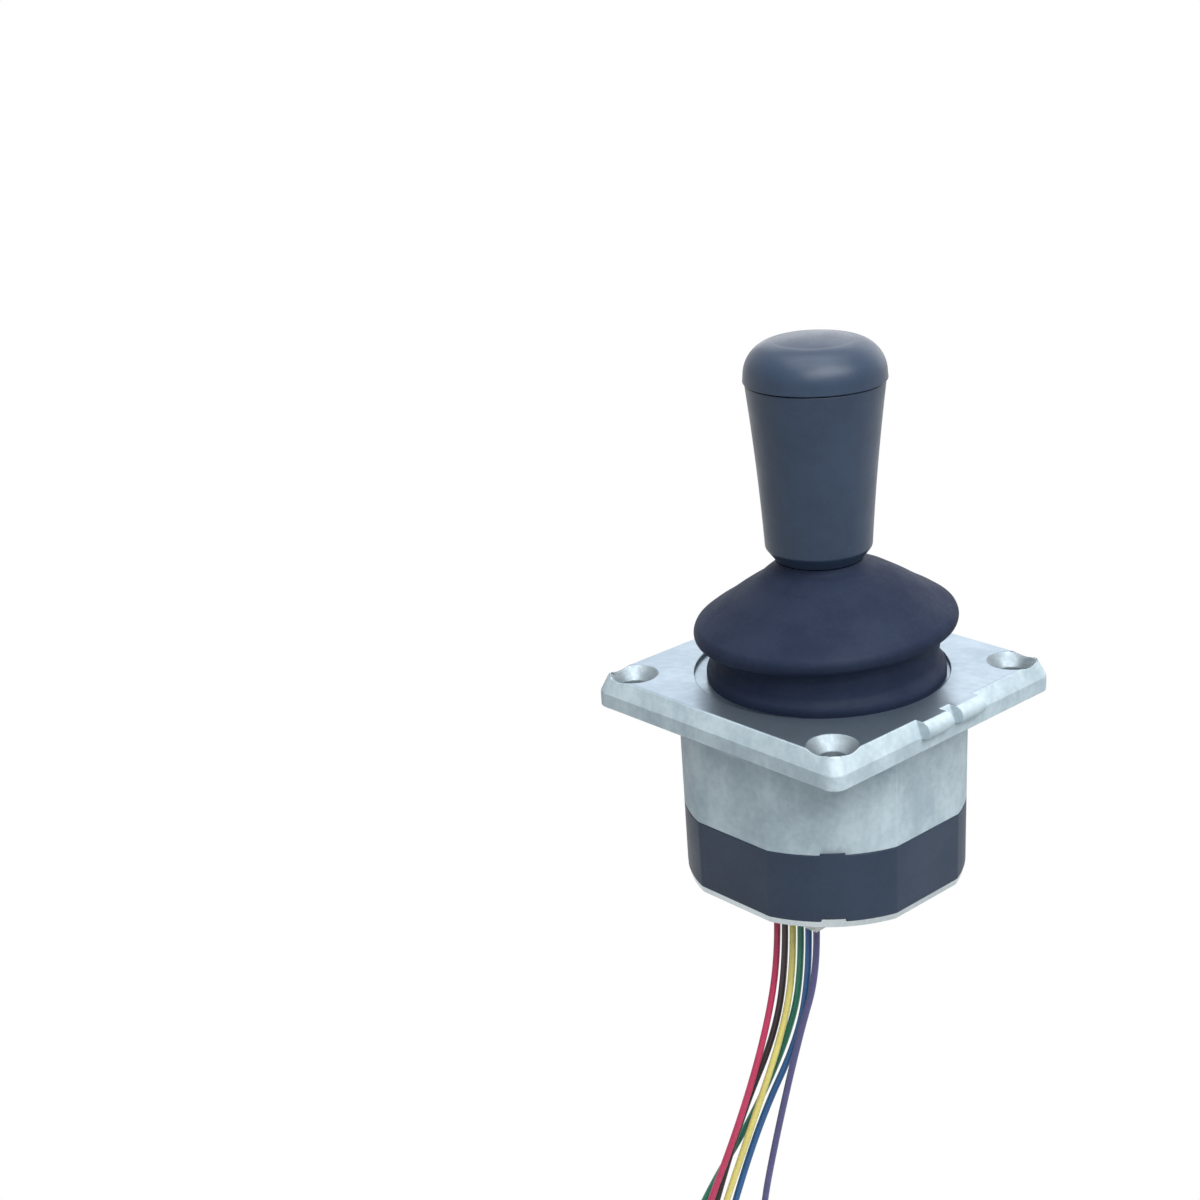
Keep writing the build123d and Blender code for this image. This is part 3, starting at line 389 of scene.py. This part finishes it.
def softened(name, width, keep=None):
    """Copy of a CAD node with its seams merged and its flat triangles joined. An edge is rounded
    by a bevel of width mm where the faces beside it turn by more than sharp_turn and keep
    accepts its middle point."""
    shape = bmesh.new()
    shape.from_mesh(nodes[name].data)
    bmesh.ops.remove_doubles(shape, verts=shape.verts, dist=0.004 * MM)
    bmesh.ops.dissolve_limit(shape, angle_limit=math.radians(0.06), verts=shape.verts,
                             edges=shape.edges)
    mesh = bpy.data.meshes.new(name + "_skin")
    shape.to_mesh(mesh)
    shape.free()
    mesh.shade_smooth()
    mesh.set_sharp_from_angle(angle=sharp_turn)
    edge_of_loop = np.empty(len(mesh.loops), np.int32)
    loop_count = np.empty(len(mesh.polygons), np.int32)
    normals = np.empty(3 * len(mesh.polygons), np.float32)
    points = np.empty(3 * len(mesh.vertices), np.float32)
    ends = np.empty(2 * len(mesh.edges), np.int32)
    mesh.loops.foreach_get("edge_index", edge_of_loop)
    mesh.polygons.foreach_get("loop_total", loop_count)
    mesh.polygons.foreach_get("normal", normals)
    mesh.vertices.foreach_get("co", points)
    mesh.edges.foreach_get("vertices", ends)
    face_of_loop = np.repeat(np.arange(len(loop_count)), loop_count)
    order = np.argsort(edge_of_loop, kind="stable")
    ordered = edge_of_loop[order]
    pair = np.flatnonzero(ordered[1:] == ordered[:-1])
    beside = normals.reshape(-1, 3)[face_of_loop[order]]
    cosine = (beside[pair] * beside[pair + 1]).sum(1)
    rounded = np.zeros(len(mesh.edges), bool)
    rounded[ordered[pair]] = cosine < math.cos(sharp_turn)
    if keep:
        middle = points.reshape(-1, 3)[ends.reshape(-1, 2)].mean(1) / MM
        rounded &= keep(*middle.T)
    weight = mesh.attributes.new("bevel_weight_edge", "FLOAT", "EDGE")
    weight.data.foreach_set("value", rounded.astype(np.float32))
    piece = bpy.data.objects.new(name + "_skin", mesh)
    bpy.context.scene.collection.objects.link(piece)
    rounding = piece.modifiers.new("rounding", "BEVEL")
    rounding.width = width * MM
    rounding.segments = 2
    rounding.limit_method = "WEIGHT"
    rounding.use_clamp_overlap = False
    rounding.harden_normals = True
    return piece


def casting_edges(x, y, z):
    """The flange's outline, the countersinks' mouths, the recess round the boot and the lower
    edge, by the place of an edge's middle in mm."""
    from_axis = np.hypot(x, y)
    sink = np.hypot(np.abs(x) - hole_place, np.abs(y) - hole_place) < 5.0
    outline = (np.maximum(np.abs(x), np.abs(y)) > 25.0) & (z > -0.2) & ~sink
    mouth = sink & (z > 3.2)
    recess = (from_axis < 24.0) & (from_axis > 23.0) & (z > 5.5)
    low = (z < -19.4) & (from_axis > 24.0)
    return outline | mouth | recess | low


def cast_skin(name, dark, light, stain, rough, bump):
    """As-cast metal: cloudy tone, upright flow streaks and small dark pits, each one mottle
    pattern, mixed over one another; the first two heights together feed the bump."""
    material = bpy.data.materials.new(name)
    material.use_nodes = True
    tree = material.node_tree
    skin = tree.nodes["Principled BSDF"]
    clouds = (110, 900, (1, 1, 0.7), (0.34, 0.68))
    streaks = (420, 1500, (1, 1, 0.22), (0.52, 0.74))
    pits = (900, 2600, (1, 1, 1), (0.62, 0.72))
    layers = [mottle_node(tree, dark, light, coarse, fine, rough, stretch, spread)
              for coarse, fine, stretch, spread in (clouds, streaks, pits)]
    tone = layers[0].outputs["Color"]
    for layer, colour, share in ((layers[1], light, 0.35), (layers[2], stain, 0.60)):
        weight = tree.nodes.new("ShaderNodeMath")
        weight.operation = "MULTIPLY"
        weight.inputs[1].default_value = share
        tree.links.new(layer.outputs["Mask"], weight.inputs[0])
        mix = tree.nodes.new("ShaderNodeMix")
        mix.data_type = "RGBA"
        mix.inputs[7].default_value = (*colour, 1)
        tree.links.new(weight.outputs[0], mix.inputs[0])
        tree.links.new(tone, mix.inputs[6])
        tone = mix.outputs[2]
    tree.links.new(tone, skin.inputs["Base Color"])
    tree.links.new(layers[0].outputs["Roughness"], skin.inputs["Roughness"])
    height = tree.nodes.new("ShaderNodeMath")
    tree.links.new(layers[0].outputs["Height"], height.inputs[0])
    tree.links.new(layers[1].outputs["Height"], height.inputs[1])
    relief = tree.nodes.new("ShaderNodeBump")
    relief.inputs["Strength"].default_value = bump
    relief.inputs["Distance"].default_value = 0.12 * MM
    tree.links.new(height.outputs[0], relief.inputs["Height"])
    tree.links.new(relief.outputs["Normal"], skin.inputs["Normal"])
    skin.inputs["Metallic"].default_value = 0.12
    return material


housing = softened("flange_housing", 0.22, casting_edges)
as_cast = cast_skin("as_cast", (0.33, 0.415, 0.465), (0.485, 0.58, 0.625), (0.22, 0.29, 0.34),
                    (0.66, 0.56), 0.35)
burnished = mottled("burnished_face", (0.26, 0.335, 0.41), (0.325, 0.405, 0.48), 90, 700,
                    (0.38, 0.30), bump=0.02, Metallic=0.9)
turned = mottled("turned_sink", (0.22, 0.265, 0.295), (0.28, 0.325, 0.355), 500, 2400,
                 (0.60, 0.50), bump=0.10, Metallic=0.95)
for finish in (as_cast, burnished, turned):
    housing.data.materials.append(finish)


def face_places(piece):
    """Middle point of each face of the piece, in mm, and how far it looks up, from -1 to 1."""
    count = len(piece.data.polygons)
    centre = np.empty(3 * count, np.float32)
    normal = np.empty(3 * count, np.float32)
    piece.data.polygons.foreach_get("center", centre)
    piece.data.polygons.foreach_get("normal", normal)
    return centre.reshape(-1, 3) / MM, normal.reshape(-1, 3)[:, 2]


centre, facing_up = face_places(housing)
from_hole = np.hypot(np.abs(centre[:, 0]) - hole_place, np.abs(centre[:, 1]) - hole_place)
top_face = (centre[:, 2] > 4.9) & (facing_up > 0.98)
between_stubs = np.abs(centre[:, 0]) < 28.5
finish_index = np.zeros(len(centre), np.int32)
finish_index[top_face & between_stubs] = 1
finish_index[(from_hole < 4.6) & (centre[:, 2] < 5.7)] = 2
housing.data.polygons.foreach_set("material_index", finish_index)
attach(housing, "housing")
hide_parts("flange_housing")


# Rubber boot
# One moulding of soft black rubber: a foot in the flange's recess, a waist, one fold and a cone
# whose collar is nipped under the knob. It is built as two pieces, the skirt with the fold and the
# cone, which share one ring of points.
boot_seam = 17.3  # height at which the skirt ends and the cone starts
boot_top = 27.4
boot_sway = 0.85 * np.array((0.671, 0.741))
boot_low_rise = np.array((0.0587, 0.0219))
boot_high_rise = np.array((0.038, 0.043))


def flowing(points, count):
    """Smooth curve through the points: cubic pieces whose slope at a point is that of the
    parabola through it and its neighbours, sampled at even steps along the runs."""
    p = np.array(points, float)
    at = np.concatenate([[0], np.cumsum(np.linalg.norm(np.diff(p, axis=0), axis=1))])
    slope = np.gradient(p, at, axis=0)
    s = np.linspace(0, at[-1], count)
    i = np.clip(np.searchsorted(at, s, side="right") - 1, 0, len(at) - 2)
    h = (at[i + 1] - at[i])[:, None]
    u = (s - at[i])[:, None] / h
    start = (1 + 2 * u) * (1 - u) ** 2 * p[i] + u * (1 - u) ** 2 * h * slope[i]
    return start + u**2 * (3 - 2 * u) * p[i + 1] + u**2 * (u - 1) * h * slope[i + 1]


def spun(name, profile, segments=144, shape=None):
    """Surface of revolution: profile point (r, z) at turn a lies at (r cos a, r sin a, z), in mm,
    and shape may move the points. Neighbouring points make quads, and the poles are merged."""
    r, z = np.array(profile, float).T
    a = np.linspace(0, 2 * math.pi, segments, endpoint=False)
    height = np.repeat(z[:, None], segments, 1)
    points = np.stack([np.outer(r, np.cos(a)), np.outer(r, np.sin(a)), height], -1)
    if shape:
        points = shape(points)
    row = np.arange(segments)
    following = (row + 1) % segments
    quad = np.stack([row, following, following + segments, row + segments], -1)
    faces = (quad[None] + segments * np.arange(len(r) - 1)[:, None, None]).reshape(-1, 4)
    mesh = bpy.data.meshes.new(name)
    mesh.from_pydata((points.reshape(-1, 3) * MM).tolist(), [], faces.tolist())
    merged = bmesh.new()
    merged.from_mesh(mesh)
    bmesh.ops.remove_doubles(merged, verts=merged.verts, dist=0.002 * MM)
    merged.to_mesh(mesh)
    merged.free()
    mesh.shade_smooth()
    piece = bpy.data.objects.new(name, mesh)
    bpy.context.scene.collection.objects.link(piece)
    return piece


def boot_lean(points):
    """The boot stands a little askew: outside the plate that holds it, a point moves by the sway
    and rises by its plan place times a rise slope, which changes between z 13 and 18; both fade
    at the collar."""
    z = points[..., 2]
    from_axis = np.hypot(points[..., 0], points[..., 1])
    rise = np.clip((z - 6.0) / 8.0, 0, 1)
    fade = np.clip((boot_top - z) / 3.5, 0, 1)
    high = np.clip((z - 13.0) / 5.0, 0, 1)
    free = np.maximum(np.clip((z - 6.5) / 4.0, 0, 1), np.clip((from_axis - 20.4) / 1.2, 0, 1))
    moved = points.copy()
    moved[..., :2] += (free * fade)[..., None] * boot_sway
    slopes = (1 - high[..., None]) * boot_low_rise + high[..., None] * boot_high_rise
    moved[..., 2] += (points[..., :2] * slopes).sum(-1) * rise**2 * (3 - 2 * rise) * fade
    return moved


boot_outer = [(22.0, 5.0), (22.05, 6.0), (21.9, 6.7), (21.5, 7.3), (21.1, 7.9), (20.95, 8.7),
              (20.9, 9.9), (20.9, 11.3), (21.1, 12.2), (21.8, 12.8), (22.9, 13.1), (23.8, 13.8),
              (24.15, 15.0), (23.75, 16.3), (22.5, 17.3), (19.4, 19.3), (15.98, 21.65),
              (12.76, 23.65), (10.3, 25.2), (8.6, 26.2)]
boot_inner = [(7.15, 24.5), (9.3, 24.2), (12.3, 22.4), (15.4, 20.4), (18.8, 18.2), (21.2, 16.8),
              (22.4, 15.9), (22.85, 15.0), (22.4, 14.3), (21.3, 13.8), (20.3, 13.0), (19.9, 11.6),
              (19.9, 8.6), (19.8, 7.0), (19.6, 5.95)]
boot_lip = [(18.1, 5.93), (18.1, 5.02), (19.8, 5.02)]
boot_collar = [(8.0, 26.75), (8.0, boot_top), (3.05, boot_top), (3.05, 25.43)]
outer_line = flowing(boot_outer, 150)
inner_line = flowing(boot_inner, 90)
outer_cut = int(np.argmax((outer_line[:, 1] > boot_seam) & (outer_line[:, 0] < 23.9)))
inner_cut = int(np.argmax(inner_line[:, 1] < outer_line[outer_cut, 1] - 0.7))  # 0.7: the wall
skirt_line = np.concatenate([inner_line[inner_cut:], boot_lip, outer_line[: outer_cut + 1]])
cone_line = np.concatenate([outer_line[outer_cut:], boot_collar, inner_line[: inner_cut + 1]])
boot_rubber = mottled("boot_rubber", (0.012, 0.018, 0.040), (0.016, 0.024, 0.048), 90, 1500,
                      (0.68, 0.56), bump=0.10, depth=0.03, Specular_IOR_Level=0.10)
boot_skirt = spun("boot_skirt", skirt_line, shape=boot_lean)
boot_cone = spun("boot_cone", cone_line, shape=boot_lean)
for piece in (boot_skirt, boot_cone):
    piece.data.materials.append(boot_rubber)
    piece.data.set_sharp_from_angle(angle=math.radians(50))
    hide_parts("boot")
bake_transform(boot_skirt)
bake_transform(boot_cone)


# Knob grip
# Turned-looking tapered grip, moulded in black nylon over a brass insert, its flanks slightly
# hollow. The insert screws on the lever's thread and covers the boot's nut.
along = np.linspace(0, 1, 60)
grip_hollow = along * (1 - along)
grip_flank = np.stack([9.7 + 2.78 * along - grip_hollow, 29.8 + 30.4 * along], -1)
insert_pocket = [(0, 44.13), (5.03, 44.13), (5.03, 31.1), (6.27, 31.1)]
grip_foot = [(6.27, 27.5), (7.95, 27.5)]
cap_socket = [(9.63, 60.2), (9.63, 49.7), (6.63, 46.7), (0, 46.7)]
grip_line = np.concatenate([insert_pocket, grip_foot, grip_flank, cap_socket])
knob_grip = spun("knob_grip_skin", grip_line, segments=160)
nylon = mottled("knob_nylon", (0.021, 0.037, 0.068), (0.026, 0.045, 0.081), 120, 1700,
                (0.42, 0.34), bump=0.08, depth=0.03, Specular_IOR_Level=0.32)


def edged(piece, width, material):
    """Rounds the piece's edges by a bevel of width mm and gives it its material."""
    piece.data.set_sharp_from_angle(angle=sharp_turn)
    rounding = piece.modifiers.new("rounding", "BEVEL")
    rounding.width = width * MM
    rounding.segments = 3
    rounding.limit_method = "ANGLE"
    rounding.angle_limit = sharp_turn
    rounding.use_clamp_overlap = False
    rounding.harden_normals = True
    piece.data.materials.append(material)


edged(knob_grip, 0.3, nylon)
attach(knob_grip, "lever")
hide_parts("knob_grip")


# Knob cap
# Domed cap of the same nylon, pressed into the grip by its spigot. Its rim stands a little proud
# of the grip, and a fine gap shows as the parting line.
cap_turn = np.linspace(0.02, 1.43, 40)
shoulder_r = 6.03
cap_shoulder = np.stack([6.65 + shoulder_r * np.cos(cap_turn),
                         61.5 + shoulder_r * np.sin(cap_turn)], -1)
crown_r = np.linspace(7.2, 0, 24)
cap_crown = np.stack([crown_r, 68.3 - crown_r**2 / 64.0], -1)
cap_spigot = [(0, 66.05), (7.6, 64.55), (7.6, 56.35), (9.6, 56.35), (9.6, 60.35), (12.8, 60.35)]
cap_line = np.concatenate([cap_spigot, cap_shoulder, cap_crown])
knob_cap = spun("knob_cap_skin", cap_line, segments=160)
edged(knob_cap, 0.22, nylon)
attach(knob_cap, "lever")
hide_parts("knob_cap")


# Lower shell
# Black glass-filled nylon moulding that continues the casting downward. The long plate screws pass
# through its bosses and clamp it to the casting.
lower_shell = softened("lower_shell", 0.25)
shell_black = mottled("shell_moulding", (0.022, 0.036, 0.064), (0.027, 0.044, 0.076), 70, 1500,
                      (0.54, 0.46), bump=0.12, depth=0.03, Specular_IOR_Level=0.28)
lower_shell.data.materials.append(shell_black)
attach(lower_shell, "housing")
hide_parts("lower_shell")


# Closing plate
# Bright rolled steel, nickel plated, with a round pan pressed outward that gives the plug room;
# the pan's sloping ring is rougher than the sheet and painted darker, as painted shade.
bottom_plate = softened("bottom_plate", 0.16)
rolled = mottled("rolled_sheet", (0.42, 0.48, 0.51), (0.55, 0.61, 0.63), 45, 1800, (0.16, 0.09),
                 bump=0.05, Metallic=1.0)
# Painted shade: the pan's sloping ring gets a darker colour than the sheet, standing in for shade
# and darker reflections.
ring_painted_shade = mottled("pan_ring_painted_shade", (0.24, 0.28, 0.30), (0.36, 0.41, 0.42), 160, 1500, (0.30, 0.22),
                bump=0.08, Metallic=1.0)
for finish in (rolled, ring_painted_shade):
    bottom_plate.data.materials.append(finish)
centre, facing_up = face_places(bottom_plate)
from_middle = np.hypot(centre[:, 0], centre[:, 1])
slopes_down = (facing_up < -0.15) & (facing_up > -0.97)
pan_ring = slopes_down & (from_middle > 12.0) & (from_middle < 21.0)
# The pan ring's faces get the darker painted-shade finish.
bottom_plate.data.polygons.foreach_set("material_index", pan_ring.astype(np.int32))
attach(bottom_plate, "housing")
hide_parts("bottom_plate")


# Plate screws
# Four M2.5 pan-head screws, nickel plated, driven up through plate and shell into the casting.
plate_screws = softened("plate_screws", 0.1)
plated = mottled("plated_screw", (0.42, 0.46, 0.46), (0.62, 0.66, 0.66), 420, 2400, (0.26, 0.16),
                 bump=0.05, Metallic=1.0)
plate_screws.data.materials.append(plated)
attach(plate_screws, "housing")
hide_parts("plate_screws")


# Pin header and plug
# White nylon shroud soldered to the board and the six-way crimp plug that is pushed up into it;
# the dark slots on the plug's side show the latches of its crimped sockets.
white_nylon = mottled("white_nylon", (0.70, 0.74, 0.68), (0.82, 0.85, 0.79), 160, 1200,
                      (0.46, 0.38), bump=0.05, Subsurface_Weight=0.12, Subsurface_Scale=0.0008)
for name in ("pin_header", "plug_housing"):
    white_piece = softened(name, 0.12)
    white_piece.data.materials.append(white_nylon)
    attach(white_piece, "housing")
    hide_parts(name)


# Sticker
# White film label, left bare, glued round the flat opposite the leads and part of the next corner;
# its corners are cut round.
sticker_low = -32.3
sticker_tall = 21.5
sticker_start = math.radians(69.0)
sticker_end = math.radians(129.2)
sticker_round = 2.0
shell_bottom = -32.9
shell_flat = 24.85
shell_round = 26.3
shell_draft = math.tan(math.radians(0.7))


def film(name, lift):
    """Sheet over the body: at height z and turn t it lies at the smaller of the round radius and
    the flat's distance h / sin t, softened, plus lift; near the corners each row is shorter by
    what a circle of the corner's radius leaves out."""
    v = np.linspace(0, 1, 60)
    v = v - np.sin(2 * math.pi * v) / (2.4 * math.pi)
    z = sticker_low + sticker_tall * v
    edge = np.minimum(z - z[0], z[-1] - z)
    into_corner = np.maximum(0, sticker_round - edge)
    missing = sticker_round - np.sqrt(np.maximum(0, sticker_round**2 - into_corner**2))
    inset = missing / 26.0
    across = np.linspace(0, 1, 120)[None]
    span = sticker_end - sticker_start - 2 * inset
    t = (sticker_start + inset)[:, None] + span[:, None] * across
    grow = ((z - shell_bottom) * shell_draft)[:, None]
    flat = (shell_flat + grow) / np.maximum(np.sin(t), 0.3)
    curved = shell_round + grow + 0 * t
    blend = 0.25
    r = -blend * np.log(np.exp(-flat / blend) + np.exp(-curved / blend)) + lift
    height = np.repeat(z[:, None], t.shape[1], 1)
    points = np.stack([r * np.cos(t), r * np.sin(t), height], -1) * MM
    rows, columns = t.shape
    corner = (columns * np.arange(rows - 1)[:, None] + np.arange(columns - 1)[None]).reshape(-1, 1)
    faces = corner + np.array([[0, 1, columns + 1, columns]])
    mesh = bpy.data.meshes.new(name)
    mesh.from_pydata(points.reshape(-1, 3).tolist(), [], faces.tolist())
    mesh.shade_smooth()
    piece = bpy.data.objects.new(name, mesh)
    bpy.context.scene.collection.objects.link(piece)
    thick = piece.modifiers.new("film", "SOLIDIFY")
    thick.thickness = 0.12 * MM
    thick.offset = 1.0
    return piece


sticker = film("sticker_film", 0.10)
label_film = mottled("label_film", (0.80, 0.85, 0.86), (0.86, 0.90, 0.91), 60, 1600, (0.34, 0.28),
                     bump=0.03)
sticker.data.materials.append(label_film)
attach(sticker, "housing")
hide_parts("sticker")


# Inner pieces
# The gimbal, springs, lever, circuit board and small hardware are of zinc, steel, bronze, brass and
# plastic, machined, pressed, moulded or bought in. They keep the CAD shape and get a finish here.
bright_zinc = mottled("bright_zinc", (0.50, 0.53, 0.54), (0.62, 0.65, 0.66), 160, 900, (0.34, 0.24),
                      Metallic=1.0)
ground_steel = mottled("ground_steel", (0.42, 0.43, 0.44), (0.56, 0.57, 0.58), 220, 1400,
                       (0.30, 0.20), stretch=(1, 1, 0.15), Metallic=1.0)
zinc_casting = mottled("zinc_casting", (0.34, 0.35, 0.36), (0.48, 0.49, 0.50), 120, 800,
                       (0.55, 0.42), bump=0.3, Metallic=1.0)
spring_wire = mottled("spring_wire", (0.25, 0.25, 0.26), (0.36, 0.36, 0.37), 300, 1500,
                      (0.36, 0.28), Metallic=1.0)
bronze = mottled("sintered_bronze", (0.35, 0.20, 0.09), (0.52, 0.33, 0.16), 400, 2200, (0.55, 0.42),
                 Metallic=1.0)
brass = mottled("turned_brass", (0.55, 0.38, 0.13), (0.74, 0.55, 0.22), 200, 1200, (0.34, 0.24),
                Metallic=1.0)
nickel = mottled("nickel_plate", (0.55, 0.54, 0.52), (0.68, 0.67, 0.65), 200, 1200, (0.24, 0.16),
                 Metallic=1.0)
tin = mottled("tinned_copper", (0.50, 0.49, 0.47), (0.70, 0.69, 0.66), 700, 2600, (0.40, 0.28),
              Metallic=1.0)
acetal = mottled("acetal", (0.62, 0.60, 0.52), (0.74, 0.72, 0.64), 120, 900, (0.48, 0.40))
solder_mask = mottled("solder_mask", (0.012, 0.10, 0.05), (0.02, 0.17, 0.08), 140, 1100,
                      (0.36, 0.26))
package_black = mottled("package_black", (0.012, 0.012, 0.014), (0.03, 0.03, 0.033), 500, 2500,
                        (0.55, 0.45))
inner_finish = {
    bright_zinc: ["limiter_plate", "limiter_screws", "carrier_screws", "board_screws",
                  "boot_washer", "collar_nut"],
    ground_steel: ["outer_pivot_pins", "cross_pin", "lever_shaft", "lever_hub"],
    zinc_casting: ["gimbal_carrier", "gimbal_ring"],
    spring_wire: ["torsion_spring_x", "torsion_spring_y", "pin_clips"],
    bronze: ["ring_bushes", "hub_bush"],
    brass: ["knob_insert"],
    nickel: ["magnet"],
    tin: ["wire_tips", "header_pins", "plug_terminals"],
    acetal: ["magnet_holder", "spacer_sleeve_x", "spacer_sleeve_y"],
    solder_mask: ["sensor_board"],
    package_black: ["hall_sensor", "board_parts"],
}
for finish, names in inner_finish.items():
    for name in names:
        nodes[name].data.materials.clear()
        nodes[name].data.materials.append(finish)


bpy.context.scene.view_settings.view_transform = "Standard"
